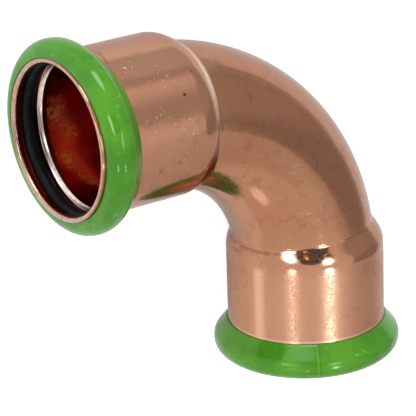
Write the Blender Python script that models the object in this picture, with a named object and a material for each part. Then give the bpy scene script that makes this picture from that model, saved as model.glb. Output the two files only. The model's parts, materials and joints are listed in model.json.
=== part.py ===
"""A 90 degree press fit elbow for 28 mm copper tube, lying as it comes to rest.

The body is one length of copper tube, bent to a quarter circle and widened at
both ends into a socket. Near each mouth the socket wall is rolled out into a
bead, which holds a rubber O-ring in the groove inside it and carries a plastic
indicator ring outside.

The elbow is drawn in its own frame: the axes of the two sockets cross at the
origin, one socket points along +X and the other along -Y, and the bend lies in
the XY plane. An empty then tips it onto the two rings and the side of the bend,
which is how a loose elbow lies on a bench. Units are metres.
"""
import math

import bmesh
import bpy
from mathutils import Matrix, Vector

MM = 0.001

# The tube that the elbow is made from, and the bend in it
TUBE_DIAMETER = 28.0 * MM
TUBE_WALL = 1.5 * MM
BEND_RADIUS = 37.6 * MM
CENTRE_TO_END = 57.0 * MM

# The socket that a tube of the same diameter is pushed into
SOCKET_CLEARANCE = 0.4 * MM
SOCKET_WALL = 1.5 * MM
SOCKET_DEPTH = 22.7 * MM
SHOULDER_ROUND = 5.1 * MM

# The lip at the mouth
LIP_FLARE = 0.4 * MM
LIP_THICKNESS = 1.9 * MM
LIP_FLAT_WIDTH = 0.7 * MM
LIP_EDGE_ROUND = 0.3 * MM

# The bead and the groove inside it
O_RING_SECTION = 2.7 * MM
O_RING_GRIP = 0.2 * MM
O_RING_SIDE_CLEARANCE = 0.2 * MM
O_RING_TOP_CLEARANCE = 0.2 * MM
GROOVE_CORNER = 1.2 * MM
GROOVE_BACK_ROUND = 0.9 * MM
BEAD_WALL = 0.8 * MM
BEAD_FILLET = 0.6 * MM

# The indicator ring that covers the bead
RING_CLEARANCE = 0.2 * MM
RING_WALL = 0.85 * MM
RING_FRONT_WALL = 0.8 * MM
RING_FRONT_REACH = 2.7 * MM
RING_CREST_LAND = 0.4 * MM
RING_BACK_ROUND = 2.4 * MM
RING_BACK_SLOPE = math.radians(38.0)
RING_SKIRT_SLOPE = math.radians(14.0)
RING_SKIRT_LENGTH = 0.6 * MM
RING_SKIRT_EDGE = 0.4 * MM
RING_WIDTH = 7.2 * MM

# Fineness of the facets
AROUND = 40
BEND_STEPS = 14
ARC_STEP = math.radians(30.0)
SHOULDER_STEP = math.radians(11.0)
SHOULDER_END = math.radians(25.0)
PASSAGE_END = math.radians(12.0)

# What follows from the sizes above
TUBE_RADIUS = TUBE_DIAMETER / 2
SOCKET_BORE_RADIUS = (TUBE_DIAMETER + SOCKET_CLEARANCE) / 2
SOCKET_RADIUS = SOCKET_BORE_RADIUS + SOCKET_WALL
LIP_BORE_RADIUS = SOCKET_BORE_RADIUS + LIP_FLARE / 2
LIP_RADIUS = LIP_BORE_RADIUS + LIP_EDGE_ROUND + LIP_FLAT_WIDTH
O_RING_CENTRE_RADIUS = (TUBE_DIAMETER - O_RING_GRIP + O_RING_SECTION) / 2
GROOVE_RADIUS = O_RING_CENTRE_RADIUS + O_RING_SECTION / 2 + O_RING_TOP_CLEARANCE
GROOVE_WIDTH = O_RING_SECTION + 2 * O_RING_SIDE_CLEARANCE
BEAD_CORNER = GROOVE_CORNER + BEAD_WALL
BEAD_FRONT = LIP_THICKNESS + GROOVE_CORNER
BEAD_BACK = LIP_THICKNESS + GROOVE_WIDTH - GROOVE_CORNER
BEAD_CORNER_RADIUS = GROOVE_RADIUS - GROOVE_CORNER
BEAD_CREST = GROOVE_RADIUS + BEAD_WALL
RING_CREST = BEAD_CREST + RING_CLEARANCE + RING_WALL

# The ways that the two sockets point, from the crossing of their axes
SOCKETS = {"right": Vector((1, 0, 0)), "front": Vector((0, -1, 0))}
DIAGONAL = Vector((1, -1, 0)).normalized()


def arc(centre, radius, start, end, step_angle=ARC_STEP):
    """Points of an arc; angles run from the inward axis towards larger radius."""
    count = max(2, math.ceil(abs(end - start) / step_angle - 1e-6))
    points = []
    for step in range(count + 1):
        angle = start + (end - start) * step / count
        points.append((centre[0] + radius * math.cos(angle),
                       centre[1] + radius * math.sin(angle)))
    return points


def bead_outline(offset):
    """The outside of the bead, from the lip to the socket's cylinder.

    A point is (depth behind the mouth, radius from the socket's axis). The
    offset moves the whole line outwards, for the ring that sits on the bead.
    """
    corner = BEAD_CORNER + offset
    fillet = BEAD_FILLET - offset
    fillet_radius = SOCKET_RADIUS + BEAD_FILLET
    rise = fillet_radius - BEAD_CORNER_RADIUS
    reach = math.sqrt((BEAD_CORNER + BEAD_FILLET) ** 2 - rise ** 2)
    meeting = math.atan2(rise, reach)
    leaving = math.pi - math.asin((LIP_RADIUS + offset - BEAD_CORNER_RADIUS) / corner)
    front = arc((BEAD_FRONT, BEAD_CORNER_RADIUS), corner, leaving, math.pi / 2)
    back = arc((BEAD_BACK, BEAD_CORNER_RADIUS), corner, math.pi / 2, meeting)
    foot = arc((BEAD_BACK + reach, fillet_radius), fillet,
               math.pi + meeting, 1.5 * math.pi)
    return front + back + foot[1:]


def socket_outline():
    """The outside of one socket, from the flat of its lip to inside the bend."""
    shoulder = arc((SOCKET_DEPTH, SOCKET_RADIUS - SHOULDER_ROUND), SHOULDER_ROUND,
                   math.pi / 2, SHOULDER_END, SHOULDER_STEP)
    lip = [(0.0, LIP_BORE_RADIUS - SOCKET_WALL), (0.0, LIP_RADIUS)]
    return lip + bead_outline(0.0) + shoulder


def passage_outline():
    """The inside of one socket, from before the mouth to inside the bend."""
    lip = LIP_BORE_RADIUS
    bore = SOCKET_BORE_RADIUS
    back_wall = LIP_THICKNESS + GROOVE_WIDTH
    inner_round = SHOULDER_ROUND - SOCKET_WALL
    points = [(-LIP_THICKNESS, lip + LIP_EDGE_ROUND), (0.0, lip + LIP_EDGE_ROUND)]
    points += arc((LIP_EDGE_ROUND, lip + LIP_EDGE_ROUND), LIP_EDGE_ROUND,
                  math.pi, 1.5 * math.pi)[1:]
    points += arc((LIP_THICKNESS - LIP_EDGE_ROUND, lip + LIP_EDGE_ROUND),
                  LIP_EDGE_ROUND, -math.pi / 2, 0.0)
    points += arc((BEAD_FRONT, BEAD_CORNER_RADIUS), GROOVE_CORNER,
                  math.pi, math.pi / 2)
    points += arc((BEAD_BACK, BEAD_CORNER_RADIUS), GROOVE_CORNER,
                  math.pi / 2, 0.0)
    points += arc((back_wall + GROOVE_BACK_ROUND, bore + GROOVE_BACK_ROUND),
                  GROOVE_BACK_ROUND, math.pi, 1.5 * math.pi)
    points += arc((SOCKET_DEPTH, bore - inner_round), inner_round,
                  math.pi / 2, PASSAGE_END, SHOULDER_STEP)
    return points


def ring_outline():
    """The indicator ring's section: its outside from the front, then its inside."""
    inside = bead_outline(RING_CLEARANCE)
    mouth = LIP_RADIUS + RING_CLEARANCE
    front_depth = BEAD_FRONT - BEAD_CORNER - RING_CLEARANCE - RING_FRONT_WALL
    crest_depth = front_depth + RING_FRONT_REACH
    back_centre = (crest_depth + RING_CREST_LAND, RING_CREST - RING_BACK_ROUND)
    back_end = math.pi / 2 - RING_BACK_SLOPE
    outside = [(crest_depth + RING_FRONT_REACH * depth, mouth + (RING_CREST - mouth) * out)
               for depth, out in arc((0.0, 0.0), 1.0, math.pi, math.pi / 2)]
    outside += arc(back_centre, RING_BACK_ROUND, math.pi / 2, back_end)
    bore = SOCKET_RADIUS + RING_CLEARANCE
    edge = bore + RING_SKIRT_EDGE
    skirt_start = edge + RING_SKIRT_LENGTH * math.tan(RING_SKIRT_SLOPE)
    outside += [(RING_WIDTH - RING_SKIRT_LENGTH, skirt_start), (RING_WIDTH, edge),
                (RING_WIDTH, bore)]
    return outside + inside[::-1]


def o_ring_outline():
    """The O-ring's round section, in the middle of its groove."""
    centre = (LIP_THICKNESS + GROOVE_WIDTH / 2, O_RING_CENTRE_RADIUS)
    return arc(centre, O_RING_SECTION / 2, 0.0, -2 * math.pi)[:-1]


def socket_frame(direction):
    """Places a turned shape, drawn along +Z from the mouth, on one socket."""
    inward = -direction
    across = Vector((0, 0, 1))
    turn = Matrix((across, inward.cross(across), inward)).transposed()
    return Matrix.Translation(direction * CENTRE_TO_END) @ turn.to_4x4()


def new_object(name, shape, frame, material):
    """Writes a bmesh to a smooth-shaded object under the elbow's frame."""
    mesh = bpy.data.meshes.new(name)
    bmesh.ops.recalc_face_normals(shape, faces=shape.faces)
    shape.to_mesh(mesh)
    shape.free()
    mesh.shade_smooth()
    mesh.set_sharp_from_angle(angle=math.radians(35.0))
    mesh.materials.append(material)
    made = bpy.data.objects.new(name, mesh)
    made.parent = frame
    bpy.context.collection.objects.link(made)
    return made


def turned(name, outline, closed, frame, material):
    """Spins an outline of (depth, radius) points about the +Z axis."""
    shape = bmesh.new()
    points = [shape.verts.new((radius, 0.0, depth)) for depth, radius in outline]
    pairs = list(zip(points, points[1:]))
    if closed:
        pairs.append((points[-1], points[0]))
    edges = [shape.edges.new(pair) for pair in pairs]
    bmesh.ops.spin(shape, geom=points + edges, cent=(0, 0, 0), axis=(0, 0, 1),
                   angle=2 * math.pi, steps=AROUND, use_merge=True)
    if not closed:
        bmesh.ops.holes_fill(shape, edges=shape.edges, sides=0)
    return new_object(name, shape, frame, material)


def quarter_bend(name, radius, frame, material):
    """A solid bent rod along the centreline, with a straight end in each socket."""
    shape = bmesh.new()
    leg = CENTRE_TO_END - LIP_THICKNESS - BEND_RADIUS
    start = Matrix.Translation((BEND_RADIUS, 0, 0)) @ Matrix.Rotation(math.pi / 2, 4, 'Y')
    bmesh.ops.create_circle(shape, cap_ends=True, segments=AROUND, radius=radius,
                            matrix=start)
    first_cap = shape.faces[:]
    turned_end = bmesh.ops.spin(
        shape, geom=shape.verts[:] + shape.edges[:] + shape.faces[:],
        cent=(BEND_RADIUS, -BEND_RADIUS, 0), axis=(0, 0, 1),
        angle=math.pi / 2, steps=BEND_STEPS)["geom_last"]
    last_cap = [item for item in turned_end if isinstance(item, bmesh.types.BMFace)]
    for cap, way in ((first_cap, (leg, 0, 0)), (last_cap, (0, -leg, 0))):
        grown = bmesh.ops.extrude_face_region(shape, geom=cap)["geom"]
        tips = [item for item in grown if isinstance(item, bmesh.types.BMVert)]
        bmesh.ops.translate(shape, verts=tips, vec=way)
        bmesh.ops.delete(shape, geom=cap, context='FACES_ONLY')
    return new_object(name, shape, frame, material)


def combine(body, other, operation):
    """Joins another shape to the body or cuts it away, and keeps it as a guide."""
    step = body.modifiers.new(other.name, 'BOOLEAN')
    step.operation = operation
    step.solver = 'EXACT'
    step.object = other
    other.hide_render = True
    other.display_type = 'WIRE'


def elbow_body(frame, copper):
    """The bent tube with both sockets, hollow from mouth to mouth."""
    body = quarter_bend("elbow_body", TUBE_RADIUS, frame, copper)
    for side, direction in SOCKETS.items():
        form = turned("socket_form_" + side, socket_outline(), False, frame, copper)
        form.matrix_local = socket_frame(direction)
        combine(body, form, 'UNION')
    for side, direction in SOCKETS.items():
        bore = turned("passage_" + side, passage_outline(), False, frame, copper)
        bore.matrix_local = socket_frame(direction)
        combine(body, bore, 'DIFFERENCE')
    bend_bore = quarter_bend("passage_bend", TUBE_RADIUS - TUBE_WALL, frame, copper)
    combine(body, bend_bore, 'DIFFERENCE')
    return body


def ring_depth_below(tilt):
    """How far a ring reaches below the crossing of the axes at this tilt."""
    rise = math.sin(tilt) * DIAGONAL.x
    return max(radius * math.sqrt(1 - rise ** 2) - (CENTRE_TO_END - depth) * rise
               for depth, radius in ring_outline())


def bend_depth_below(tilt):
    """How far the middle of the bend reaches below it."""
    out = BEND_RADIUS * (math.sqrt(2) - 1)
    return TUBE_RADIUS - out * math.sin(tilt)


def resting_tilt():
    """The tilt at which the two rings and the bend touch the same surface."""
    low, high = 0.0, math.radians(45.0)
    for _ in range(50):
        middle = (low + high) / 2
        if ring_depth_below(middle) > bend_depth_below(middle):
            low = middle
        else:
            high = middle
    return low


def set_down(frame, pieces):
    """Tips the elbow to its rest and puts the middle of its base at the origin."""
    tip = Matrix.Rotation(resting_tilt(), 4, Vector((-1, -1, 0)))
    frame.matrix_world = tip
    bpy.context.view_layer.update()
    graph = bpy.context.evaluated_depsgraph_get()
    corners = []
    for piece in pieces:
        solid = piece.evaluated_get(graph)
        corners += [solid.matrix_world @ vertex.co for vertex in solid.data.vertices]
    lowest = [min(corner[axis] for corner in corners) for axis in range(3)]
    highest = [max(corner[axis] for corner in corners) for axis in range(3)]
    middle = Vector(((lowest[0] + highest[0]) / 2, (lowest[1] + highest[1]) / 2,
                     lowest[2]))
    frame.matrix_world = Matrix.Translation(-middle) @ tip


def new_material(name, colour, metallic, roughness):
    made = bpy.data.materials.new(name)
    made.use_nodes = True
    shader = made.node_tree.nodes["Principled BSDF"]
    shader.inputs["Base Color"].default_value = (*colour, 1.0)
    shader.inputs["Metallic"].default_value = metallic
    shader.inputs["Roughness"].default_value = roughness
    made.diffuse_color = (*colour, 1.0)
    return made


def main():
    for old in list(bpy.data.objects):
        bpy.data.objects.remove(old, do_unlink=True)

    frame = bpy.data.objects.new("elbow_frame", None)
    bpy.context.collection.objects.link(frame)
    copper = new_material("copper", (0.56, 0.28, 0.18), 1.0, 0.3)
    green_plastic = new_material("green_plastic", (0.09, 0.34, 0.045), 0.0, 0.22)
    black_rubber = new_material("black_rubber", (0.012, 0.012, 0.013), 0.0, 0.5)

    pieces = [elbow_body(frame, copper)]
    for side, direction in SOCKETS.items():
        for name, outline, material in (
                ("o_ring_", o_ring_outline(), black_rubber),
                ("indicator_ring_", ring_outline(), green_plastic)):
            ring = turned(name + side, outline, True, frame, material)
            ring.matrix_local = socket_frame(direction)
            pieces.append(ring)
    set_down(frame, pieces)


main()
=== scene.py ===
"""The looks of the press fit elbow: drawn copper, glossy green rings, black rubber.

Each piece is drawn smooth in the elbow's own frame, from the sizes of the real
fitting: the socket axes cross at its origin, the right socket points along +X,
the front socket along -Y, and the bend lies in its XY plane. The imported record's
two mouth faces say where that frame stands, with the elbow lying on its rings.
"""
import json
import math

import bpy
import numpy as np
from mathutils import Matrix, Vector


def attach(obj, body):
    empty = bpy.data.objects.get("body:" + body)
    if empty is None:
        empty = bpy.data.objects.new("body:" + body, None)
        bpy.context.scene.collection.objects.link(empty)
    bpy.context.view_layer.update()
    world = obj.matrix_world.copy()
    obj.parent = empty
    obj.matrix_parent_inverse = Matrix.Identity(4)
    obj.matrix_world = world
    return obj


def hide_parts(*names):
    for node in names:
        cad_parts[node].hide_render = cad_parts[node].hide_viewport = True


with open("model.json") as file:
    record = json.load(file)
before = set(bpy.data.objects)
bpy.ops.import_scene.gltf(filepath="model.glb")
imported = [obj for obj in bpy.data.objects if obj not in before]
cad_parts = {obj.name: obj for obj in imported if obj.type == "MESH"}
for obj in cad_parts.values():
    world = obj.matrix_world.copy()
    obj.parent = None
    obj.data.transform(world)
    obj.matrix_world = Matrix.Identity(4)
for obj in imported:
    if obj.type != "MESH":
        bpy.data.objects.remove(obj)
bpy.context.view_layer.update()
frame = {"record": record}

MM = 0.001

# The elbow, as in the CAD source
TUBE_RADIUS = 14.0 * MM
TUBE_WALL = 1.5 * MM
BEND_RADIUS = 37.6 * MM
CENTRE_TO_END = 57.0 * MM
SOCKET_BORE_RADIUS = 14.2 * MM
SOCKET_WALL = 1.5 * MM
SOCKET_DEPTH = 22.7 * MM
SHOULDER_ROUND = 5.1 * MM
SOCKET_RADIUS = SOCKET_BORE_RADIUS + SOCKET_WALL

# The lip
LIP_BORE_RADIUS = 14.4 * MM
LIP_THICKNESS = 1.9 * MM
LIP_RADIUS = 15.4 * MM
LIP_EDGE_ROUND = 0.3 * MM
LIP_INNER_ROUND = 0.6 * MM
LIP_OUTER_ROUND = 0.25 * MM
LIP_MIDDLE = (LIP_BORE_RADIUS + LIP_EDGE_ROUND + LIP_RADIUS) / 2

# The bead and the groove inside it, with the O-ring
O_RING_SECTION_RADIUS = 1.35 * MM
O_RING_CENTRE_RADIUS = 15.25 * MM
GROOVE_WIDTH = 3.1 * MM
GROOVE_CORNER = 1.2 * MM
GROOVE_RADIUS = 16.8 * MM
BEAD_WALL = 0.8 * MM
BEAD_FILLET = 0.6 * MM
BEAD_CORNER = GROOVE_CORNER + BEAD_WALL
BEAD_FRONT = LIP_THICKNESS + GROOVE_CORNER
BEAD_BACK = LIP_THICKNESS + GROOVE_WIDTH - GROOVE_CORNER
BEAD_CORNER_RADIUS = GROOVE_RADIUS - GROOVE_CORNER

# The chamfer behind the groove: a small corner, then a slope down to the bore
GROOVE_END = LIP_THICKNESS + GROOVE_WIDTH
GROOVE_BACK_ROUND = 0.8 * MM
GROOVE_BACK_START = 0.5 * MM
GROOVE_BACK_SPREAD = 1.25 * MM
GROOVE_BACK_CORNER = 0.3 * MM
GROOVE_BACK_TURN = math.radians(261.0)

# The indicator ring
RING_CLEARANCE = 0.2 * MM
RING_GAP = 0.06 * MM
RING_CREST = 18.65 * MM
RING_FRONT_WALL = 0.8 * MM
RING_FRONT_REACH = 2.7 * MM
RING_CREST_LAND = 0.4 * MM
RING_BACK_ROUND = 2.4 * MM
RING_BACK_SLOPE = math.radians(38.0)
RING_BACK_EDGE = 0.3 * MM
RING_WIDTH = 7.2 * MM

# The front ring sits a little askew: how far its back and front edges lean
LEAN_MIDDLE = 0.45 * MM
LEAN_REACH = 0.65 * MM
LEAN_ANGLE = math.radians(115.0)
LEAN_FRONT_SHARE = 0.6

# Fineness of the smooth surfaces
AROUND = 192
ANGLES = np.linspace(0.0, 2 * math.pi, AROUND, endpoint=False)
FINE_ARC = math.radians(7.5)
MEDIUM_ARC = 2 * FINE_ARC
COARSE_ARC = 3 * FINE_ARC
OUTLINE_SPACING = 1.0 * MM
RING_SLOPE_SPACING = 0.3 * MM
RING_SPACING = 0.12 * MM
CREASE_FILLET = 1.7 * MM
PASSAGE_FILLET = 0.4 * MM
BODY_SHARP_ANGLE = math.radians(30.0)
RING_SHARP_ANGLE = math.radians(50.0)
ROUNDING = 1e-6

# Where the bend's rings stand, in degrees: close together at its shoulders
BEND_START = 2.0
SHOULDER_TURNS_END = 20.0
SHOULDER_TURN_STEP = 0.3
MIDDLE_TURN_STEP = 1.25

# How far from the bend's centreline a socket's surface is looked for
SEARCH_START = 0.6 * TUBE_RADIUS
SEARCH_END = 1.5 * TUBE_RADIUS
SEARCH_STEPS = 241

# The body's materials, and how many strips of the lip and the chamfer show them
SKIN_SLOT, PASSAGE_SLOT, LIP_SLOT, CHAMFER_SLOT, GROOVE_SLOT = range(5)
LIP_OUTER_STRIPS = 3
LIP_INNER_STRIPS = 4
CHAMFER_STRIPS = 4

# The photograph's view, told as if the elbow stood upright on its right mouth
PHOTO_SIZE = 416
CORNER_PIXEL = (301.7, 77.28)
PIXELS_PER_METRE = 5144.5
VIEW_TURN = math.radians(-35.51)
VIEW_RISE = math.radians(20.79)
VIEW_ROLL = math.radians(-1.865)
VIEW_DISTANCE = 0.485
SENSOR = 36.0
CLIP_START = 0.01
CLIP_END = 10.0

# Colours of the copper's skin, of what marks it, and of light and shade painted on it
SKIN = (0.45, 0.190, 0.108)
SKIN_VARIANT = (0.44, 0.208, 0.116)
SKIN_CLOUD = (0.37, 0.145, 0.095)
SKIN_GRAIN = (0.60, 0.33, 0.215)
SKIN_PALER = (0.56, 0.275, 0.172)
STAIN_COLOUR = (0.22, 0.07, 0.045)
# Painted reflection: a pale band along the right socket
PAINTED_REFLECTION_BAND_COLOUR = (0.80, 0.42, 0.26)
PIT_COLOUR = (0.16, 0.05, 0.035)
DOT_COLOUR = (0.14, 0.03, 0.025)
SCRATCH_COLOUR = (0.30, 0.07, 0.05)
# Painted light along the right ring's foot, lifting the shade in the gap there
PAINTED_FOOT_LIGHT_COLOUR = (0.85, 0.56, 0.40)
PALE_LINE_COLOUR = (0.68, 0.42, 0.3)
DARK_LINE_COLOUR = (0.22, 0.08, 0.05)
# Painted glints: bright specks where the copper sparkles
PAINTED_SKIN_GLINT_COLOUR = (0.95, 0.66, 0.42)
# Painted highlight and painted shade along the creases
PAINTED_CREASE_HIGHLIGHT = (0.95, 0.68, 0.56)
PAINTED_CREASE_SHADE = (0.25, 0.11, 0.08)
COPPER_SHEEN = (0.88, 0.86, 0.85, 1.0)

# Colours of the worked copper at the mouths and of the passage, with its painted reflection red
# and painted glints
LIP_COLOUR = (0.56, 0.34, 0.265)
CHAMFER_COLOUR = (0.85, 0.65, 0.56)
GROOVE_COLOUR = (0.36, 0.10, 0.08)
# Painted reflection: deep red standing for the copper's many inner reflections
PAINTED_REFLECTION_RED = (0.54, 0.055, 0.065)
PAINTED_REFLECTION_RED_VARIANT = (0.62, 0.11, 0.08)
INSIDE_PLAIN = (0.86, 0.34, 0.19)
# Painted glints inside the passage
PAINTED_INSIDE_GLINT_GOLD = (1.0, 0.74, 0.40)
PAINTED_INSIDE_GLINT_ORANGE = (1.0, 0.50, 0.12)

# Colours of the plastic, with its painted shade and painted highlight, and of the rubber
GREEN = (0.042, 0.180, 0.008)
GREEN_VARIANT = (0.068, 0.243, 0.010)
GREEN_SCUFF = (0.25, 0.5, 0.12)
GREEN_PAINTED_SHADE = (0.028, 0.17, 0.006)
SEAM_DARK = (0.03, 0.14, 0.008)
# Painted highlight beside the seam
PAINTED_SEAM_HIGHLIGHT = (0.22, 0.42, 0.1)
GREEN_SHEEN = (1.0, 0.95, 0.66, 1.0)
RUBBER = (0.006, 0.006, 0.006)
RUBBER_DUST = (0.016, 0.015, 0.014)
WHITE = (1.0, 1.0, 1.0, 1.0)

# Places of marks and of painted light and shade, in the elbow's frame in mm, each with a radius
PAINTED_SKIN_GLINT_SPOTS = (((-14.0, -46.5, 8.0), 4.2), ((-11.5, -40.5, 10.5), 4.0), ((-4.6, -44.0, 15.0), 4.5),
          ((-2.5, -38.0, 14.5), 4.0), ((-9.0, -34.0, 8.0), 3.0))
STAINS = (((3.4, -40.6, 15.3), 3.2), ((2.0, -37.6, 15.4), 3.0), ((8.0, -38.0, 13.4), 2.4),
          ((0.5, -37.0, 14.8), 2.2), ((5.0, -44.0, 15.0), 2.4), ((32.4, -15.2, -2.1), 3.0),
          ((24.7, -10.3, 11.9), 1.6))
SCRATCH = (((-15.5, -48.1, 2.2), 0.55), ((-15.35, -48.25, 3.0), 0.6),
           ((-15.15, -48.4, 3.9), 0.5), ((-14.9, -48.6, 4.8), 0.6), ((-14.6, -48.8, 5.6), 0.4))
PALER = (((44.0, -8.0, 14.0), 20.0), ((-9.0, -44.0, 13.0), 20.0))
DOT = ((-8.0, -37.4, 13.5), 0.45)
# Painted glints on the passage's walls
PAINTED_INSIDE_GLINT_SPOTS = (((-1.6, -48.2, -14.1), 3.6), ((0.8, -47.6, -14.2), 3.8), ((4.6, -45.2, -13.4), 3.2),
         ((8.0, -47.8, -11.7), 2.6), ((9.4, -46.9, -10.7), 2.6), ((11.7, -45.8, -8.0), 2.8),
         ((12.6, -44.6, -6.4), 2.2))
# Painted shade in the mouth
PAINTED_SHADE_ON_EDGE = ((3.8, -51.1, -13.7), 8.5)
# Painted shade on the right ring
PAINTED_SHADE_ON_GREEN = ((51.1, -15.1, 7.9), 3.4)
SATIN_GREEN = ((51.8, -12.0, 12.8), 4.0)

# Fine scratches: their angles in degrees, length and width in mm, how sparse, and a seed
PALE_LINES = (((20, 0, 30), 30.0, 1.6, 0.57, 1.0), ((0, 50, -40), 24.0, 1.4, 0.59, 2.0))
DARK_LINES = (((70, 10, 65), 12.0, 1.6, 0.6, 3.0),)
GREEN_LINES = (((20, 30, 0), 8.0, 1.5, 0.56, 4.0), ((70, 10, 50), 6.0, 1.2, 0.58, 5.0))

# Roughness of each surface, and what its clouds, marks and dust add
COPPER_ROUGHNESS = 0.09
CLOUD_ROUGHNESS = 0.05
FROST_ROUGHNESS = 0.05
SOCKET_FROST_ROUGHNESS = 0.05
SOCKET_ROUGHNESS = 0.17
FLECK_ROUGHNESS = 0.25
CREASE_ROUGHNESS = 0.2
EDGE_ROUGHNESS = 0.16
EDGE_CLOUD_ROUGHNESS = 0.15
INSIDE_ROUGHNESS = 0.1
INSIDE_CLOUD_ROUGHNESS = 0.2
PAINTED_INSIDE_GLINT_ROUGHNESS = 0.22
GREEN_ROUGHNESS = 0.06
GREEN_CLOUD_ROUGHNESS = 0.1
SATIN_ROUGHNESS = 0.2
RUBBER_ROUGHNESS = 0.28
DUST_ROUGHNESS = 0.15
GREEN_GLOSS = 0.36
RUBBER_GLOSS = 0.07

# Fine relief
WAVE_HEIGHT = 0.030 * MM
RIPPLE_HEIGHT = 0.0022 * MM
SOCKET_RIPPLE_HEIGHT = 0.002 * MM
GRAIN_HEIGHT = 0.0006 * MM
LINE_DEPTH = 0.003 * MM
EDGE_HEIGHT = 0.004 * MM
INSIDE_WAVE_HEIGHT = 0.05 * MM
GREEN_WAVE_HEIGHT = 0.05 * MM
GREEN_RIPPLE_HEIGHT = 0.002 * MM
SPECKLE_WAVE = 0.9 * MM

# Brightness of the worked copper where it is mottled, and where shade is painted on it
MOTTLED_SHARE = 0.72
PAINTED_SHADE_SHARE = 0.36

# Angles round the right socket of a band of painted reflection and of the ring's moulding seam
PAINTED_REFLECTION_BAND_ANGLE = math.radians(163.4)
SEAM_ANGLE = math.radians(119.7)

# The floor as the copper reflects it: a pale sheet with a darker table past its edge
FLOOR_REACH = 4.0
FLOOR_GREY = 0.88
FLOOR_ROUGHNESS = 0.9
FLOOR_GLOSS = 0.1
SHEET_EDGE = -58.0 * MM
SHEET_EDGE_AHEAD = -17.0 * MM
SHEET_CORNER = 50.0 * MM
SHEET_SLANT = 0.458
AHEAD_WAY = (1.0, 1.3)
BACK_EDGE_WAY = (0.432, 0.902)
BACK_CORNER_WAY = (-1.0, 0.3)
TABLE_SIDE_SHADE = 0.38
TABLE_SIDE_SHADE_AHEAD = 0.12
TABLE_BACK_SHADE = 0.5
SHEET_BACK_SHADE = 0.1
FLOOR_GLOW_SEEN = 0.62
FLOOR_GLOW_REFLECTED = 0.12

# Darker sectors of the room, in degrees: where the left, right and top edges fade in
DARK_SIDE = ((71, 74), (146, 130), (49, 45))
DARK_SIDE_SHADE = 0.56
DARK_SIDE_EASING = 0.14
DARK_SIDE_EASING_TURNS = (88, 106)
DIM_SIDE = ((20, 34), (74, 71), (55, 44))
DIM_SIDE_SHADE = 0.2
LOW_STRIP = ((132, 138), (162, 154), (13, 5))
LOW_STRIP_SHADE = 0.38

# Round patches of the room: bearing, height, radius and soft edge, in degrees
DARK_CEILING = (-143, 55, 17, 4)
DARK_CORNER = (-172, 62, 13, 4)
CEILING_SHADE = 0.85
LOW_WINDOW = (-65, -6, 6, 9)
LOW_WINDOW_LIGHT = 0.3
HIGH_WINDOW = (-157, 47, 2, 2)
HIGH_WINDOW_LIGHT = 1.5

# Lamps: name, bearing and height in degrees, width, length, power and colour
COOL = (0.72, 0.92, 1.0)
WARM = (1.0, 0.72, 0.4)
LAMP_DISTANCE = 1.0
LAMP_AIM = (0.0, 0.0, 0.02)
LAMPS = (("left_lamp", -66, 42, 0.13, 0.13, 0.42, COOL),
         ("top_lamp", 24, 73, 0.14, 0.14, 0.9, COOL),
         ("right_lamp", 0, 18, 0.24, 0.24, 0.14, COOL),
         ("back_left_lamp", -112, 35, 0.26, 0.34, 2.2, COOL),
         ("back_top_lamp", 163, 75, 0.28, 0.4, 1.7, COOL),
         ("back_low_lamp", -168, 5, 0.5, 0.6, 6.5, COOL),
         ("warm_lamp", -136, 54, 0.07, 0.07, 0.05, WARM))

SIDES = ("right", "front")


def elbow_frame():
    """The elbow's own frame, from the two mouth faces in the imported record."""
    mounts = {mount["name"]: mount for mount in frame["record"]["mounts"]}
    right = Vector(mounts["right_mouth_face"]["axis"]).normalized()
    front = Vector(mounts["front_mouth_face"]["axis"]).normalized()
    up = right.cross(-front).normalized()
    face = Vector(mounts["right_mouth_face"]["pos_m"])
    corner = face - right * CENTRE_TO_END - up * LIP_MIDDLE
    turn = Matrix((right, -front, up)).transposed().to_4x4()
    return Matrix.Translation(corner) @ turn


ELBOW = elbow_frame()


def arc(centre, radius, start, end, step=FINE_ARC):
    """Points of an arc; angles run from the inward axis towards larger radius."""
    count = max(2, math.ceil(abs(end - start) / step - ROUNDING))
    angles = [start + (end - start) * i / count for i in range(count + 1)]
    return [(centre[0] + radius * math.cos(a), centre[1] + radius * math.sin(a))
            for a in angles]


def line(start, end, spacing):
    """Points from start up to, but not at, the end."""
    count = max(1, round(math.dist(start, end) / spacing))
    return [(start[0] + (end[0] - start[0]) * i / count,
             start[1] + (end[1] - start[1]) * i / count) for i in range(count)]


def bead_outline(offset):
    """The outside of the bead, from the lip to the socket's cylinder."""
    fillet_radius = SOCKET_RADIUS + BEAD_FILLET
    rise = fillet_radius - BEAD_CORNER_RADIUS
    reach = math.sqrt((BEAD_CORNER + BEAD_FILLET) ** 2 - rise ** 2)
    meeting = math.atan2(rise, reach)
    corner = BEAD_CORNER + offset
    leaving = math.pi - math.asin((LIP_RADIUS + offset - BEAD_CORNER_RADIUS) / corner)
    front = arc((BEAD_FRONT, BEAD_CORNER_RADIUS), corner, leaving, math.pi / 2)
    back = arc((BEAD_BACK, BEAD_CORNER_RADIUS), corner, math.pi / 2, meeting)
    foot = arc((BEAD_BACK + reach, fillet_radius), BEAD_FILLET - offset,
               math.pi + meeting, 1.5 * math.pi, MEDIUM_ARC)
    return front + back + foot[1:]


def outside_outline():
    """The copper's outside at one socket, from the lip's flat to the bend."""
    edge = LIP_OUTER_ROUND
    points = [(0.0, LIP_MIDDLE)]
    points += arc((edge, LIP_RADIUS - edge), edge, math.pi, math.pi / 2, COARSE_ARC)
    bead = bead_outline(0.0)
    inner_end = (CENTRE_TO_END - BEND_RADIUS, SOCKET_RADIUS)
    return points + bead[:-1] + line(bead[-1], inner_end, OUTLINE_SPACING)


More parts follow.
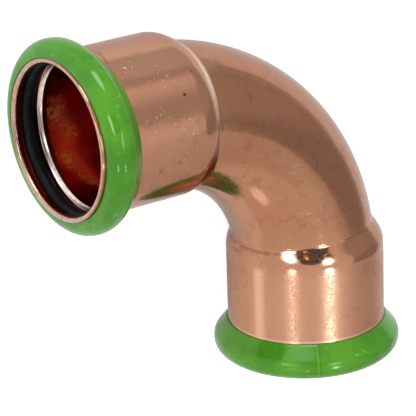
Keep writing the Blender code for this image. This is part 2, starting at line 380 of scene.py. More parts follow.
def inside_outline():
    """The copper's inside at one socket: from the lip past the groove, then the bore."""
    edge = LIP_EDGE_ROUND
    inner = LIP_INNER_ROUND
    corner = GROOVE_BACK_CORNER
    mouth = arc((inner, LIP_BORE_RADIUS + inner), inner, math.pi, 1.5 * math.pi, COARSE_ARC)
    mouth += arc((LIP_THICKNESS - edge, LIP_BORE_RADIUS + edge), edge,
                 -math.pi / 2, 0.0, COARSE_ARC)
    mouth += arc((BEAD_FRONT, BEAD_CORNER_RADIUS), GROOVE_CORNER,
                 math.pi, math.pi / 2, MEDIUM_ARC)
    mouth += arc((BEAD_BACK, BEAD_CORNER_RADIUS), GROOVE_CORNER,
                 math.pi / 2, 0.0, MEDIUM_ARC)
    mouth += arc((GROOVE_END + GROOVE_BACK_START + corner, SOCKET_BORE_RADIUS + GROOVE_BACK_ROUND),
                 corner, math.pi, GROOVE_BACK_TURN, MEDIUM_ARC)
    mouth += [(GROOVE_END + GROOVE_BACK_SPREAD, SOCKET_BORE_RADIUS)]
    inner_end = (CENTRE_TO_END - BEND_RADIUS, SOCKET_BORE_RADIUS)
    return mouth, line(mouth[-1], inner_end, OUTLINE_SPACING)[1:]


def evenly_spaced(points, spacing):
    """The same outline with evenly spaced points."""
    points = np.array(points)
    lengths = np.r_[0.0, np.cumsum(np.linalg.norm(np.diff(points, axis=0), axis=1))]
    wanted = np.linspace(0.0, lengths[-1], int(lengths[-1] / spacing))
    return np.c_[np.interp(wanted, lengths, points[:, 0]),
                 np.interp(wanted, lengths, points[:, 1])].tolist()


def ring_outline():
    """The indicator ring's section: its outside from the front, then its inside."""
    mouth = LIP_RADIUS + RING_GAP
    front_depth = BEAD_FRONT - BEAD_CORNER - RING_CLEARANCE - RING_FRONT_WALL
    crest_depth = front_depth + RING_FRONT_REACH
    back_centre = (crest_depth + RING_CREST_LAND, RING_CREST - RING_BACK_ROUND)
    outside = [(crest_depth + RING_FRONT_REACH * depth, mouth + (RING_CREST - mouth) * out)
               for depth, out in arc((0.0, 0.0), 1.0, math.pi, math.pi / 2)]
    outside += arc(back_centre, RING_BACK_ROUND, math.pi / 2,
                   math.pi / 2 - RING_BACK_SLOPE)
    bore = SOCKET_RADIUS + RING_GAP
    slope_end = (RING_WIDTH - RING_BACK_EDGE / 3, bore + RING_BACK_EDGE)
    outside += line(outside[-1], slope_end, RING_SLOPE_SPACING)[1:]
    outside = evenly_spaced(outside, RING_SPACING)
    outside += [slope_end, (RING_WIDTH, bore + RING_BACK_EDGE / 2), (RING_WIDTH, bore)]
    return outside, bead_outline(RING_CLEARANCE)[::-1]


def station(turn):
    """Centre and outward direction of the bend's centreline at an angle from +X."""
    outward = np.array([-math.sin(turn), math.cos(turn), 0.0])
    centre = np.array([BEND_RADIUS, -BEND_RADIUS, 0.0]) + BEND_RADIUS * outward
    return centre, outward


def spokes(outward):
    """Unit directions round the centreline, from the outside of the bend upward."""
    up = np.array([0.0, 0.0, 1.0])
    return np.cos(ANGLES)[:, None] * outward + np.sin(ANGLES)[:, None] * up


def socket_circle(side, depth, radius):
    """One ring of points of a turned surface on a socket."""
    if side == "right":
        centre, outward = np.array([CENTRE_TO_END - depth, 0, 0]), np.array([0, 1, 0])
    else:
        centre, outward = np.array([0, depth - CENTRE_TO_END, 0]), np.array([-1, 0, 0])
    return centre + radius * spokes(outward)


def turned_rings(side, outline):
    """The rings of a turned surface on a socket."""
    return np.array([socket_circle(side, *point) for point in outline])


def socket_reach(side, centre, ways, radius, round_radius):
    """How far a socket's surface lies from a centreline point, along each way."""
    axis = np.array([1.0, 0, 0]) if side == "right" else np.array([0, -1.0, 0])
    shoulder = CENTRE_TO_END - SOCKET_DEPTH
    steps = np.linspace(SEARCH_START, SEARCH_END, SEARCH_STEPS)
    points = centre + steps[:, None, None] * ways[None]
    along = points @ axis
    away = np.linalg.norm(points - along[..., None] * axis, axis=-1)
    back = np.clip(shoulder - along, 0.0, None)
    room = np.clip(round_radius ** 2 - back ** 2, 0.0, None)
    limit = radius - round_radius + np.sqrt(room)
    limit = np.where(back < round_radius, limit, 0.0)
    excess = away - limit
    inside = excess < 0.0
    last = np.where(inside.any(0), len(steps) - 1 - inside[::-1].argmax(0), 0)
    last = np.minimum(last, len(steps) - 2)
    columns = np.arange(len(ways))
    low, high = excess[last, columns], excess[last + 1, columns]
    share = np.where(high > low, -low / np.maximum(high - low, ROUNDING * ROUNDING), 0.0)
    reach = steps[last] + np.clip(share, 0.0, 1.0) * (steps[1] - steps[0])
    return np.where(inside.any(0), reach, 0.0)


def smooth_max(first, second, width):
    """The larger of two, rounded where they meet, and how near they are to meeting."""
    close = np.clip(width - np.abs(first - second), 0.0, None) / width
    return np.maximum(first, second) + close ** 2 * width / 4, close


def bend_turns():
    """Angles of the bend's rings from one socket to the other."""
    degrees = np.arange(BEND_START, SHOULDER_TURNS_END, SHOULDER_TURN_STEP)
    shoulder = [math.radians(a) for a in degrees]
    middle_end = 90.0 - SHOULDER_TURNS_END + MIDDLE_TURN_STEP / 2
    degrees = np.arange(SHOULDER_TURNS_END, middle_end, MIDDLE_TURN_STEP)
    middle = [math.radians(a) for a in degrees]
    mirrored = [math.pi / 2 - a for a in shoulder[::-1]]
    return shoulder + middle + mirrored


def bend_rings(tube, socket, round_radius, fillet):
    """The bend's surface where it runs into both sockets, and its creases."""
    rings, creases = [], []
    for turn in bend_turns():
        centre, outward = station(turn)
        ways = spokes(outward)
        side = "right" if turn < math.pi / 4 else "front"
        reach = socket_reach(side, centre, ways, socket, round_radius)
        radius, crease = smooth_max(np.full(AROUND, tube), reach, fillet)
        rings.append(centre + radius[:, None] * ways)
        creases.append(crease)
    return rings, creases


def body_slots(outside, inside, mouth):
    """The material of each strip between two rings, given the counts of the rings."""
    slots = [SKIN_SLOT] * outside
    slots += [GROOVE_SLOT] * mouth + [PASSAGE_SLOT] * (inside - 2 * mouth) + [GROOVE_SLOT] * mouth
    last = outside + inside - 1
    for i in range(mouth - 1 - CHAMFER_STRIPS, mouth - 1):
        slots[outside + i] = slots[last - 1 - i] = CHAMFER_SLOT
    for i in range(LIP_INNER_STRIPS):
        slots[outside + i] = slots[last - 1 - i] = LIP_SLOT
    slots[last] = LIP_SLOT
    for i in range(LIP_OUTER_STRIPS):
        slots[i] = slots[outside - 1 - i] = LIP_SLOT
    return slots


def copper_rings():
    """All rings of the body: along the outside, then back along the inside."""
    outside = [socket_circle("right", *point) for point in outside_outline()]
    start = len(outside)
    bend, creases = bend_rings(TUBE_RADIUS, SOCKET_RADIUS, SHOULDER_ROUND, CREASE_FILLET)
    outside += bend
    outside += [socket_circle("front", *point) for point in outside_outline()[::-1]]
    mouth, bore = inside_outline()
    inside = [socket_circle("front", *point) for point in mouth + bore]
    inside += bend_rings(TUBE_RADIUS - TUBE_WALL, SOCKET_BORE_RADIUS,
                         SHOULDER_ROUND - SOCKET_WALL, PASSAGE_FILLET)[0][::-1]
    inside += [socket_circle("right", *point) for point in (mouth + bore)[::-1]]
    crease = np.zeros((len(outside) + len(inside), AROUND))
    crease[start:start + len(creases)] = creases
    slots = body_slots(len(outside), len(inside), len(mouth))
    return np.array(outside + inside), slots, crease


def indicator_rings(side):
    """A green ring's points; the front one leans as in the photograph."""
    outside, inside = ring_outline()
    rings = turned_rings(side, outside + inside)
    if side == "front":
        depths = np.array([depth for depth, _ in outside])
        share = LEAN_FRONT_SHARE + (1 - LEAN_FRONT_SHARE) * depths / RING_WIDTH
        lean = LEAN_MIDDLE + LEAN_REACH * np.cos(ANGLES - LEAN_ANGLE)
        rings[:len(outside), :, 1] += share[:, None] * lean[None]
    return rings


def ring_mesh(name, rings, sharp=BODY_SHARP_ANGLE):
    """A closed smooth-shaded tube of rings, placed in the elbow's frame."""
    count, around = rings.shape[:2]
    i = np.arange(count)[:, None]
    j = np.arange(around)[None, :]
    next_i, next_j = (i + 1) % count, (j + 1) % around
    faces = np.stack([i * around + j, i * around + next_j,
                      next_i * around + next_j, next_i * around + j], -1)
    mesh = bpy.data.meshes.new(name)
    mesh.from_pydata(rings.reshape(-1, 3).tolist(), [], faces.reshape(-1, 4).tolist())
    mesh.transform(ELBOW)
    mesh.validate()
    mesh.shade_smooth()
    mesh.set_sharp_from_angle(angle=sharp)
    made = bpy.data.objects.new(name, mesh)
    bpy.context.scene.collection.objects.link(made)
    return made


def new_material(name):
    """A material with its node tree and its shader."""
    made = bpy.data.materials.new(name)
    made.use_nodes = True
    return made, made.node_tree, made.node_tree.nodes["Principled BSDF"]


def new_node(tree, kind, **settings):
    """A shader node with its settings and the values or links of its inputs."""
    node = tree.nodes.new(kind)
    inputs = settings.pop("inputs", {})
    for name, value in settings.items():
        setattr(node, name, value)
    for name, value in inputs.items():
        if isinstance(value, bpy.types.NodeSocket):
            tree.links.new(value, node.inputs[name])
        else:
            node.inputs[name].default_value = value
    return node


def object_place(tree):
    """Where a point lies on its piece."""
    return new_node(tree, "ShaderNodeTexCoord").outputs["Object"]


def maths(tree, operation, first, second=0.0, clamp=False):
    """One arithmetic step on values or links."""
    return new_node(tree, "ShaderNodeMath", operation=operation, use_clamp=clamp,
                    inputs={0: first, 1: second}).outputs[0]


def added(tree, *terms):
    """The sum of values or links."""
    result = terms[0]
    for term in terms[1:]:
        result = maths(tree, "ADD", result, term)
    return result


def product(tree, *factors):
    """The product of values or links."""
    result = factors[0]
    for factor in factors[1:]:
        result = maths(tree, "MULTIPLY", result, factor)
    return result


def ramp(tree, value, start, end):
    """Zero at start and one at end, smooth between."""
    return new_node(tree, "ShaderNodeMapRange", interpolation_type='SMOOTHSTEP',
                    inputs={"Value": value, "From Min": start, "From Max": end}).outputs[0]


def ramp_mm(tree, distance, start, end):
    """A ramp between two distances given in mm."""
    return ramp(tree, distance, start * MM, end * MM)


def blend(tree, share, first, second):
    """One colour turning into another; each is a link or three values."""
    first, second = [(*colour, 1.0) if isinstance(colour, tuple) else colour
                     for colour in (first, second)]
    return new_node(tree, "ShaderNodeMix", data_type='RGBA',
                    inputs={0: share, 6: first, 7: second}).outputs[2]


def marked(tree, colour, mask, mark, strength):
    """A colour with a mark laid over it where the mask is one."""
    return blend(tree, product(tree, mask, strength), colour, mark)


def noise(tree, place, scale, detail=2.0, roughness=0.5, distortion=0.0):
    """Cloudy values between zero and one."""
    return new_node(tree, "ShaderNodeTexNoise",
                    inputs={"Vector": place, "Scale": scale, "Detail": detail,
                            "Roughness": roughness, "Distortion": distortion}).outputs[0]


def turned(tree, place, angles, scale):
    """The same coordinates, rotated and stretched."""
    return new_node(tree, "ShaderNodeMapping", inputs={
        "Vector": place, "Rotation": tuple(math.radians(a) for a in angles),
        "Scale": scale}).outputs[0]


def hairline_family(tree, place, angles, length, width, sparse, seed):
    """Fine scratches: thin contour lines of a stretched noise, in scattered places."""
    across, along = 1 / (width * MM), 1 / (length * MM)
    stretched = turned(tree, place, angles, (across, along, across))
    value = new_node(tree, "ShaderNodeTexNoise", noise_dimensions='4D', inputs={
        "Vector": stretched, "W": seed, "Scale": 1.0, "Detail": 1.0}).outputs[0]
    off_contour = maths(tree, "ABSOLUTE", maths(tree, "SUBTRACT", value, 0.5))
    thin = ramp(tree, off_contour, start=0.012, end=0.003)
    elsewhere = turned(tree, place, (seed * 40, 0, 0), (1, 1, 1))
    where = ramp(tree, noise(tree, elsewhere, scale=260.0), start=sparse, end=sparse + 0.06)
    return product(tree, thin, where)


def hairlines(tree, place, families):
    """Fine scratches of several families."""
    return added(tree, *[hairline_family(tree, place, *family) for family in families])


def speckles(tree, place, scale, size):
    """Tiny scattered specks, as a mask for painted glints."""
    waves = new_node(tree, "ShaderNodeTexNoise", inputs={"Vector": place, "Scale": 1400.0})
    shift = new_node(tree, "ShaderNodeVectorMath", operation='SCALE',
                     inputs={0: waves.outputs["Color"], "Scale": SPECKLE_WAVE})
    wavy = new_node(tree, "ShaderNodeVectorMath", operation='ADD',
                    inputs={0: place, 1: shift.outputs[0]}).outputs[0]
    cells = new_node(tree, "ShaderNodeTexVoronoi", inputs={"Vector": wavy, "Scale": scale})
    return ramp(tree, cells.outputs["Distance"], start=size, end=size / 2)


def near(tree, place, spot, soft):
    """One at the middle of a round spot, fading to zero over the soft share of its radius."""
    point, radius = spot
    middle = ELBOW @ (Vector(point) * MM)
    away = new_node(tree, "ShaderNodeVectorMath", operation='DISTANCE',
                    inputs={0: place, 1: middle}).outputs["Value"]
    return ramp_mm(tree, away, start=radius, end=radius * (1 - soft))


def near_any(tree, place, spots, soft):
    """The same for several spots, added up."""
    return added(tree, *[near(tree, place, spot, soft) for spot in spots])


def elbow_axes(tree, place):
    """Distances along the elbow's own three axes."""
    distances = []
    for axis in range(3):
        way = Vector(ELBOW.col[axis][:3])
        dot = new_node(tree, "ShaderNodeVectorMath", operation='DOT_PRODUCT',
                       inputs={0: place, 1: way}).outputs["Value"]
        distances.append(maths(tree, "SUBTRACT", dot, way.dot(ELBOW.translation)))
    return distances


def round_right_socket(tree, y, z, angle):
    """Distance across a line that runs along the right socket at an angle round it."""
    return maths(tree, "SUBTRACT", product(tree, z, math.cos(angle)),
                 product(tree, y, math.sin(angle)))


def finish_shader(tree, shader, colour, roughness, height=None, **values):
    """Links a shader's colour, roughness and relief, and sets its plain values."""
    tree.links.new(colour, shader.inputs["Base Color"])
    tree.links.new(roughness, shader.inputs["Roughness"])
    for name, value in values.items():
        shader.inputs[name.replace("_", " ")].default_value = value
    if height is not None:
        bump = new_node(tree, "ShaderNodeBump",
                        inputs={"Height": height, "Distance": 1.0, "Strength": 1.0})
        tree.links.new(bump.outputs[0], shader.inputs["Normal"])


def copper_skin(tree, place, cloud, grain):
    """The drawn skin's own colour: broad clouds, finer clouds and a grain."""
    broad = noise(tree, place, scale=75.0, detail=3.0, roughness=0.55)
    colour = blend(tree, ramp(tree, broad, start=0.35, end=0.65), SKIN, SKIN_VARIANT)
    clouds = ramp(tree, cloud, start=0.5, end=0.72)
    colour = marked(tree, colour, clouds, SKIN_CLOUD, strength=0.8)
    grains = ramp(tree, grain, start=0.42, end=0.75)
    return marked(tree, colour, grains, SKIN_GRAIN, strength=0.22)


def copper_marks(tree, place, colour, axes):
    """Stains, pale places, a painted reflection band, pits, a dark dot, a scratch, and painted
    light at the foot of the right ring.
    """
    x, y, z = axes
    blotches = noise(tree, place, scale=900.0, detail=3.0, roughness=0.7)
    stain = product(tree, near_any(tree, place, STAINS, soft=0.9),
                    ramp(tree, blotches, start=0.46, end=0.66))
    colour = marked(tree, colour, stain, STAIN_COLOUR, strength=0.8)
    paler = near_any(tree, place, PALER, soft=0.6)
    colour = marked(tree, colour, paler, SKIN_PALER, strength=0.75)
    # Painted reflection: a pale band along the right socket, standing for a bright strip mirrored
    # in it
    off_painted_band = maths(tree, "ABSOLUTE", round_right_socket(tree, y, z, PAINTED_REFLECTION_BAND_ANGLE))
    painted_reflection_band = product(tree, ramp_mm(tree, off_painted_band, start=1.8, end=0.3),
                     ramp_mm(tree, x, start=34.0, end=36.0),
                     ramp_mm(tree, y, start=0.0, end=-2.0))
    colour = marked(tree, colour, painted_reflection_band, PAINTED_REFLECTION_BAND_COLOUR, strength=0.7)
    cells = new_node(tree, "ShaderNodeTexVoronoi", inputs={"Vector": place, "Scale": 260.0})
    pits = product(tree, ramp(tree, cells.outputs["Distance"], start=0.075, end=0.035),
                   ramp(tree, noise(tree, place, scale=120.0), start=0.5, end=0.6))
    colour = marked(tree, colour, pits, PIT_COLOUR, strength=0.6)
    colour = marked(tree, colour, near(tree, place, DOT, soft=0.5), DOT_COLOUR, strength=0.85)
    scratch = near_any(tree, place, SCRATCH, soft=0.8)
    colour = marked(tree, colour, scratch, SCRATCH_COLOUR, strength=0.7)
    # Painted light: a pale band on the right socket at the green ring's back edge, lifting the
    # shade that falls in the gap there
    foot = ramp_mm(tree, x, start=49.1, end=49.4)
    return marked(tree, colour, foot, PAINTED_FOOT_LIGHT_COLOUR, strength=0.45)


def painted_crease_light(tree, colour, axes, cloud):
    """Painted light at the creases: a painted highlight along the front socket's crease and
    painted shade along the right socket's.
    """
    x, y, z = axes
    crease = new_node(tree, "ShaderNodeAttribute", attribute_name="crease").outputs["Fac"]
    # Painted highlight: a pale streak along the front socket's crease
    painted_highlight_mask = product(tree, ramp(tree, crease, start=0.4, end=0.75),
                   ramp_mm(tree, y, start=-26.0, end=-28.0),
                   ramp_mm(tree, z, start=-6.0, end=2.0),
                   ramp_mm(tree, x, start=-3.0, end=-9.5))
    colour = marked(tree, colour, painted_highlight_mask, PAINTED_CREASE_HIGHLIGHT, strength=0.9)
    # Painted shade: a dark line along the right socket's crease
    dark = product(tree, ramp(tree, crease, start=0.72, end=0.9),
                   ramp_mm(tree, x, start=28.0, end=29.0),
                   ramp_mm(tree, y, start=-8.0, end=-11.0),
                   ramp(tree, cloud, start=0.4, end=0.55))
    return marked(tree, colour, dark, PAINTED_CREASE_SHADE, strength=0.7), painted_highlight_mask


def copper_material():
    """The drawn copper skin, satin with fine wear; the right socket is duller."""
    made, tree, shader = new_material("copper")
    place = object_place(tree)
    axes = elbow_axes(tree, place)
    cloud = noise(tree, place, scale=330.0, detail=4.0, roughness=0.6, distortion=0.6)
    grain = noise(tree, place, scale=2300.0, roughness=0.6)
    colour = copper_skin(tree, place, cloud, grain)
    colour = copper_marks(tree, place, colour, axes)
    lines = hairlines(tree, place, PALE_LINES)
    colour = marked(tree, colour, lines, PALE_LINE_COLOUR, strength=0.2)
    dark_lines = hairlines(tree, place, DARK_LINES)
    colour = marked(tree, colour, dark_lines, DARK_LINE_COLOUR, strength=0.4)
    # Painted glints: bright copper specks laid where the skin sparkles
    sparkle = added(tree, speckles(tree, place, scale=850.0, size=0.20),
                    speckles(tree, place, scale=1500.0, size=0.16))
    painted_skin_glint = maths(tree, "MULTIPLY", near_any(tree, place, PAINTED_SKIN_GLINT_SPOTS, soft=0.8), sparkle, clamp=True)
    colour = blend(tree, painted_skin_glint, colour, PAINTED_SKIN_GLINT_COLOUR)
    colour, painted_crease_highlight_mask = painted_crease_light(tree, colour, axes, cloud)
    socket = ramp_mm(tree, axes[0], start=33.5, end=36.5)
    frosting = noise(tree, place, scale=2100.0, roughness=0.6)
    frosted = ramp(tree, frosting, start=0.42, end=0.62)
    frost = added(tree, FROST_ROUGHNESS, product(tree, socket, SOCKET_FROST_ROUGHNESS))
    roughness = added(tree, COPPER_ROUGHNESS,
                      product(tree, ramp(tree, cloud, start=0.35, end=0.7), CLOUD_ROUGHNESS),
                      product(tree, frosted, frost),
                      product(tree, socket, SOCKET_ROUGHNESS),
                      product(tree, painted_skin_glint, FLECK_ROUGHNESS),
                      product(tree, painted_crease_highlight_mask, CREASE_ROUGHNESS))
    ripple = added(tree, RIPPLE_HEIGHT, product(tree, socket, SOCKET_RIPPLE_HEIGHT))
    height = added(tree, product(tree, noise(tree, place, scale=260.0), WAVE_HEIGHT),
                   product(tree, noise(tree, place, scale=1100.0), ripple),
                   product(tree, grain, GRAIN_HEIGHT),
                   product(tree, lines, -LINE_DEPTH))
    finish_shader(tree, shader, colour, roughness, height, Metallic=1.0,
                  Specular_Tint=COPPER_SHEEN)
    return made


def dimmed(colour, share):
    """A colour at a share of its brightness."""
    return tuple(share * value for value in colour)


def edge_material(name, colour):
    """A worked surface at the mouths, mottled, with painted shade at one place."""
    made, tree, shader = new_material(name)
    place = object_place(tree)
    cloud = noise(tree, place, scale=900.0, detail=3.0, roughness=0.6)
    clouds = ramp(tree, cloud, start=0.42, end=0.7)
    mottled = blend(tree, clouds, colour, dimmed(colour, MOTTLED_SHARE))
    # Painted shade: the worked copper darkened at one shaded place in the mouth
    painted_edge_shade = near(tree, place, PAINTED_SHADE_ON_EDGE, soft=0.6)
    roughness = added(tree, EDGE_ROUGHNESS, product(tree, cloud, EDGE_CLOUD_ROUGHNESS))
    finish_shader(tree, shader, blend(tree, painted_edge_shade, mottled, dimmed(colour, PAINTED_SHADE_SHARE)), roughness,
                  product(tree, cloud, EDGE_HEIGHT), Metallic=1.0)
    return made


def inside_material():
    """The passage: a painted reflection red near the front mouth, with painted glints, and plain
    copper deeper in.
    """
    made, tree, shader = new_material("copper_inside")
    place = object_place(tree)
    x, y, _ = elbow_axes(tree, place)
    cloud = noise(tree, place, scale=230.0, detail=3.0, roughness=0.6)
    # Painted reflection: deep red near the front mouth, standing for the copper's many inner
    # reflections
    colour = blend(tree, ramp(tree, cloud, start=0.35, end=0.68), PAINTED_REFLECTION_RED, PAINTED_REFLECTION_RED_VARIANT)
    colour = blend(tree, ramp_mm(tree, y, start=-36.0, end=-29.0), colour, INSIDE_PLAIN)
    # Painted glints: gold and orange patches on the bore near the front mouth
    flicker = noise(tree, place, scale=1000.0, detail=4.0, roughness=0.7)
    glow = maths(tree, "MULTIPLY", near_any(tree, place, PAINTED_INSIDE_GLINT_SPOTS, soft=1.0),
                 ramp(tree, flicker, start=0.3, end=0.62), clamp=True)
    painted_inside_glint_colour = blend(tree, ramp_mm(tree, x, start=2.0, end=4.5), PAINTED_INSIDE_GLINT_GOLD, PAINTED_INSIDE_GLINT_ORANGE)
    colour = blend(tree, glow, colour, painted_inside_glint_colour)
    roughness = added(tree, INSIDE_ROUGHNESS, product(tree, cloud, INSIDE_CLOUD_ROUGHNESS),
                      product(tree, glow, PAINTED_INSIDE_GLINT_ROUGHNESS))
    waves = noise(tree, place, scale=330.0, detail=3.0)
    finish_shader(tree, shader, colour, roughness, product(tree, waves, INSIDE_WAVE_HEIGHT),
                  Metallic=1.0)
    return made


def green_material():
    """The glossy green plastic, with a moulding seam on the right ring, a painted highlight beside
    it, a patch of painted shade and light scuffs.
    """
    made, tree, shader = new_material("green_plastic")
    place = object_place(tree)
    x, y, z = elbow_axes(tree, place)
    cloud = noise(tree, place, scale=140.0, detail=3.0, roughness=0.6)
    colour = blend(tree, ramp(tree, cloud, start=0.35, end=0.68), GREEN, GREEN_VARIANT)
    lines = hairlines(tree, place, GREEN_LINES)
    colour = marked(tree, colour, lines, GREEN_SCUFF, strength=0.35)
    seam = round_right_socket(tree, y, z, SEAM_ANGLE)
    off_seam = maths(tree, "ABSOLUTE", seam)
    # Painted highlight: a pale line just beside the seam, as if its edge caught the light
    off_painted_seam_highlight = maths(tree, "ABSOLUTE", maths(tree, "SUBTRACT", seam, 0.32 * MM))
    on_right_ring = product(tree, ramp_mm(tree, z, start=0.0, end=2.0),
                            ramp_mm(tree, x, start=40.0, end=42.0))
    seam_dark = product(tree, ramp_mm(tree, off_seam, start=0.28, end=0.08), on_right_ring)
    colour = marked(tree, colour, seam_dark, SEAM_DARK, strength=0.45)
    painted_seam_highlight = product(tree, ramp_mm(tree, off_painted_seam_highlight, start=0.2, end=0.05), on_right_ring)
    colour = marked(tree, colour, painted_seam_highlight, PAINTED_SEAM_HIGHLIGHT, strength=0.3)
    # Painted shade: a darker patch on the right green ring
    painted_green_shade = product(tree, near(tree, place, PAINTED_SHADE_ON_GREEN, soft=0.25),
                     ramp(tree, cloud, start=0.3, end=0.4))
    colour = marked(tree, colour, painted_green_shade, GREEN_PAINTED_SHADE, strength=0.5)
    satin = near(tree, place, SATIN_GREEN, soft=0.5)
    roughness = added(tree, GREEN_ROUGHNESS, product(tree, cloud, GREEN_CLOUD_ROUGHNESS),
                      product(tree, satin, SATIN_ROUGHNESS))
    height = added(tree, product(tree, noise(tree, place, scale=260.0), GREEN_WAVE_HEIGHT),
                   product(tree, noise(tree, place, scale=1300.0), GREEN_RIPPLE_HEIGHT))
    finish_shader(tree, shader, colour, roughness, height, Specular_IOR_Level=GREEN_GLOSS,
                  Specular_Tint=GREEN_SHEEN)
    return made


def rubber_material():
    """Black rubber with a little dust."""
    made, tree, shader = new_material("black_rubber")
    dust = noise(tree, object_place(tree), scale=700.0, detail=3.0, roughness=0.6)
    colour = blend(tree, ramp(tree, dust, start=0.5, end=0.75), RUBBER, RUBBER_DUST)
    roughness = added(tree, RUBBER_ROUGHNESS, product(tree, dust, DUST_ROUGHNESS))
    finish_shader(tree, shader, colour, roughness, Specular_IOR_Level=RUBBER_GLOSS)
    return made


def dress(piece, node, material):
    """Puts a smooth piece in place of its CAD node."""
    piece.data.materials.append(material)
    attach(piece, "root")
    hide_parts(node)


def build_body():
    """The copper elbow, with its worked mouths and its passage."""
    rings, slots, crease = copper_rings()
    body = ring_mesh("copper_elbow", rings)
    dress(body, "elbow_body", copper_material())
    body.data.materials.append(inside_material())
    body.data.materials.append(edge_material("copper_lip", LIP_COLOUR))
    body.data.materials.append(edge_material("copper_edge", CHAMFER_COLOUR))
    body.data.materials.append(edge_material("copper_groove", GROOVE_COLOUR))
    body.data.polygons.foreach_set("material_index", np.repeat(slots, AROUND))
    layer = body.data.attributes.new("crease", 'FLOAT', 'POINT')
    layer.data.foreach_set("value", crease.ravel())


def build_rings():
    """The O-ring and the indicator ring of each socket."""
    green, rubber = green_material(), rubber_material()
    centre = (LIP_THICKNESS + GROOVE_WIDTH / 2, O_RING_CENTRE_RADIUS)
    section = arc(centre, O_RING_SECTION_RADIUS, 0.0, -2 * math.pi)[:-1]
    for side in SIDES:
        seal = ring_mesh("seal_" + side, turned_rings(side, section))
        dress(seal, "o_ring_" + side, rubber)
        ring = ring_mesh("green_ring_" + side, indicator_rings(side), RING_SHARP_ANGLE)
        dress(ring, "indicator_ring_" + side, green)


def photo_axes():
    """The photograph's right, up and backward ways, in the elbow's frame."""
    sin_t, cos_t = math.sin(VIEW_TURN), math.cos(VIEW_TURN)
    sin_r, cos_r = math.sin(VIEW_RISE), math.cos(VIEW_RISE)
    back = Vector((sin_t * cos_r, -cos_t * cos_r, sin_r))
    right = Vector((cos_t, sin_t, 0.0))
    up = back.cross(right)
    rolled_right = right * math.cos(VIEW_ROLL) + up * math.sin(VIEW_ROLL)
    rolled_up = up * math.cos(VIEW_ROLL) - right * math.sin(VIEW_ROLL)
    return [Vector((-way.z, way.x, -way.y)) for way in (rolled_right, rolled_up, back)]


def add_camera():
    """The photograph's camera; it looks down on the lying elbow."""
    right, up, back = photo_axes()
    across = (CORNER_PIXEL[0] - PHOTO_SIZE / 2) / PIXELS_PER_METRE
    down = (CORNER_PIXEL[1] - PHOTO_SIZE / 2) / PIXELS_PER_METRE
    place = back * VIEW_DISTANCE - right * across + up * down
    pose = Matrix((right, up, back)).transposed().to_4x4()
    data = bpy.data.cameras.new("photo_camera")
    data.sensor_width = SENSOR
    data.lens = PIXELS_PER_METRE * VIEW_DISTANCE / PHOTO_SIZE * SENSOR
    data.clip_start = CLIP_START
    data.clip_end = CLIP_END
    camera = bpy.data.objects.new("photo_camera", data)
    camera.matrix_world = ELBOW @ Matrix.Translation(place) @ pose
    bpy.context.scene.collection.objects.link(camera)
    bpy.context.scene.camera = camera


def slanted(tree, x, y, x_share, y_share):
    """Distance across the floor along a slanted way."""
    return added(tree, product(tree, x, x_share), product(tree, y, y_share))


def table_shade(tree, x, y):
    """How dark the floor is where the copper reflects it."""
    ahead = ramp_mm(tree, slanted(tree, x, y, *AHEAD_WAY), start=-20.0, end=10.0)
    past_corner = maths(tree, "MAXIMUM", maths(tree, "SUBTRACT", y, SHEET_CORNER), 0.0)
    edge = added(tree, product(tree, past_corner, SHEET_SLANT),
                 product(tree, ahead, SHEET_EDGE_AHEAD), SHEET_EDGE)
    beyond = maths(tree, "SUBTRACT", edge, x)
    past_side = product(tree, ramp_mm(tree, beyond, start=-4.0, end=5.0),
                        ramp_mm(tree, y, start=-60.0, end=-30.0))
    farther = slanted(tree, x, y, *BACK_EDGE_WAY)
    off_corner = slanted(tree, x, y, *BACK_CORNER_WAY)
    past_back = product(tree, ramp_mm(tree, farther, start=185.0, end=200.0),
                        ramp_mm(tree, off_corner, start=-10.0, end=10.0))
    side_shade = added(tree, TABLE_SIDE_SHADE, product(tree, ahead, TABLE_SIDE_SHADE_AHEAD))
    table = maths(tree, "MAXIMUM", product(tree, past_side, side_shade),
                  product(tree, past_back, TABLE_BACK_SHADE))
    sheet = product(tree, ramp_mm(tree, y, start=-30.0, end=50.0), SHEET_BACK_SHADE)
    return maths(tree, "MAXIMUM", sheet, table)


def floor_material():
    """Plain white as the camera sees it, with the table's shade in reflections only."""
    made, tree, shader = new_material("floor")
    place = new_node(tree, "ShaderNodeNewGeometry").outputs["Position"]
    x, y, _ = new_node(tree, "ShaderNodeSeparateXYZ", inputs={0: place}).outputs
    path = new_node(tree, "ShaderNodeLightPath").outputs
    shade = product(tree, path["Is Glossy Ray"], table_shade(tree, x, y))
    level = maths(tree, "SUBTRACT", 1.0, shade)
    grey = product(tree, level, FLOOR_GREY)
    colour = new_node(tree, "ShaderNodeCombineColor", inputs={0: grey, 1: grey, 2: grey})
    tree.links.new(colour.outputs[0], shader.inputs["Base Color"])
    shader.inputs["Roughness"].default_value = FLOOR_ROUGHNESS
    shader.inputs["Specular IOR Level"].default_value = FLOOR_GLOSS
    shader.inputs["Emission Color"].default_value = WHITE
    glow = added(tree, product(tree, path["Is Camera Ray"], FLOOR_GLOW_SEEN),
                 product(tree, path["Is Glossy Ray"], level, FLOOR_GLOW_REFLECTED),
                 product(tree, path["Is Transmission Ray"], FLOOR_GLOW_REFLECTED))
    tree.links.new(glow, shader.inputs["Emission Strength"])
    return made


def add_floor():
    """A plain white floor."""
    reach = FLOOR_REACH
    mesh = bpy.data.meshes.new("floor")
    corners = [(-reach, -reach, 0), (reach, -reach, 0), (reach, reach, 0), (-reach, reach, 0)]
    mesh.from_pydata(corners, [], [(0, 1, 2, 3)])
    mesh.materials.append(floor_material())
    floor = bpy.data.objects.new("floor", mesh)
    bpy.context.scene.collection.objects.link(floor)


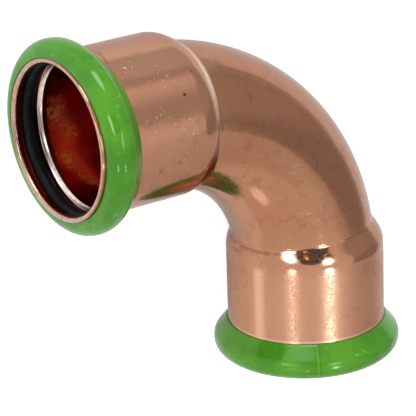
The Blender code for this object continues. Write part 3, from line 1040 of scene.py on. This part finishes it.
def bearing(turn, rise):
    """A direction, from its bearing and its height in degrees."""
    turn, rise = math.radians(turn), math.radians(rise)
    return Vector((math.cos(turn) * math.cos(rise), math.sin(turn) * math.cos(rise),
                   math.sin(rise)))


def patch(tree, way, turn, rise, radius, soft):
    """One inside a round patch of the room, given in degrees."""
    match = new_node(tree, "ShaderNodeVectorMath", operation='DOT_PRODUCT',
                     inputs={0: way, 1: bearing(turn, rise)}).outputs["Value"]
    return ramp(tree, match, math.cos(math.radians(radius + soft)),
                math.cos(math.radians(radius)))


def sector(tree, turn, rise, left, right, top):
    """One inside a sector of the room, whose edges fade in between two angles each."""
    return product(tree, ramp(tree, turn, *left), ramp(tree, turn, *right),
                   ramp(tree, rise, *top))


def room_shade(tree, way):
    """How dark the room is on its darker sides."""
    x, y, z = new_node(tree, "ShaderNodeSeparateXYZ", inputs={0: way}).outputs
    turn = product(tree, maths(tree, "ARCTAN2", y, x), math.degrees(1.0))
    rise = product(tree, maths(tree, "ARCSINE", z), math.degrees(1.0))
    easing = product(tree, ramp(tree, turn, *DARK_SIDE_EASING_TURNS), DARK_SIDE_EASING)
    dark = product(tree, sector(tree, turn, rise, *DARK_SIDE),
                   maths(tree, "SUBTRACT", DARK_SIDE_SHADE, easing))
    dim = product(tree, sector(tree, turn, rise, *DIM_SIDE), DIM_SIDE_SHADE)
    ceiling = maths(tree, "MAXIMUM", patch(tree, way, *DARK_CEILING),
                    patch(tree, way, *DARK_CORNER))
    low = product(tree, sector(tree, turn, rise, *LOW_STRIP), LOW_STRIP_SHADE)
    return added(tree, dark, dim, product(tree, ceiling, CEILING_SHADE), low)


def add_world():
    """A white room; only reflections show its darker sides and its windows."""
    world = bpy.data.worlds.new("studio")
    bpy.context.scene.world = world
    world.use_nodes = True
    tree = world.node_tree
    way = new_node(tree, "ShaderNodeTexCoord").outputs["Generated"]
    window = added(tree, product(tree, patch(tree, way, *LOW_WINDOW), LOW_WINDOW_LIGHT),
                   product(tree, patch(tree, way, *HIGH_WINDOW), HIGH_WINDOW_LIGHT))
    path = new_node(tree, "ShaderNodeLightPath").outputs
    unseen = maths(tree, "SUBTRACT", 1.0, path["Is Camera Ray"])
    change = maths(tree, "SUBTRACT", window, room_shade(tree, way))
    level = added(tree, 1.0, product(tree, change, unseen))
    background = tree.nodes["Background"]
    background.inputs["Color"].default_value = WHITE
    tree.links.new(level, background.inputs["Strength"])


def add_lamp(name, turn, rise, width, length, power, colour):
    """A soft oval lamp that faces the elbow."""
    way = bearing(turn, rise)
    data = bpy.data.lights.new(name, 'AREA')
    data.shape = 'ELLIPSE'
    data.size = width
    data.size_y = length
    data.energy = power
    data.color = colour
    lamp = bpy.data.objects.new(name, data)
    lamp.location = Vector(LAMP_AIM) + way * LAMP_DISTANCE
    lamp.rotation_euler = way.to_track_quat('Z', 'Y').to_euler()
    lamp.visible_camera = False
    bpy.context.scene.collection.objects.link(lamp)


def main():
    """Dresses the frame, then sets up the view and the light."""
    build_body()
    build_rings()
    add_camera()
    add_floor()
    add_world()
    for lamp in LAMPS:
        add_lamp(*lamp)
    bpy.context.scene.view_settings.view_transform = "Standard"


main()
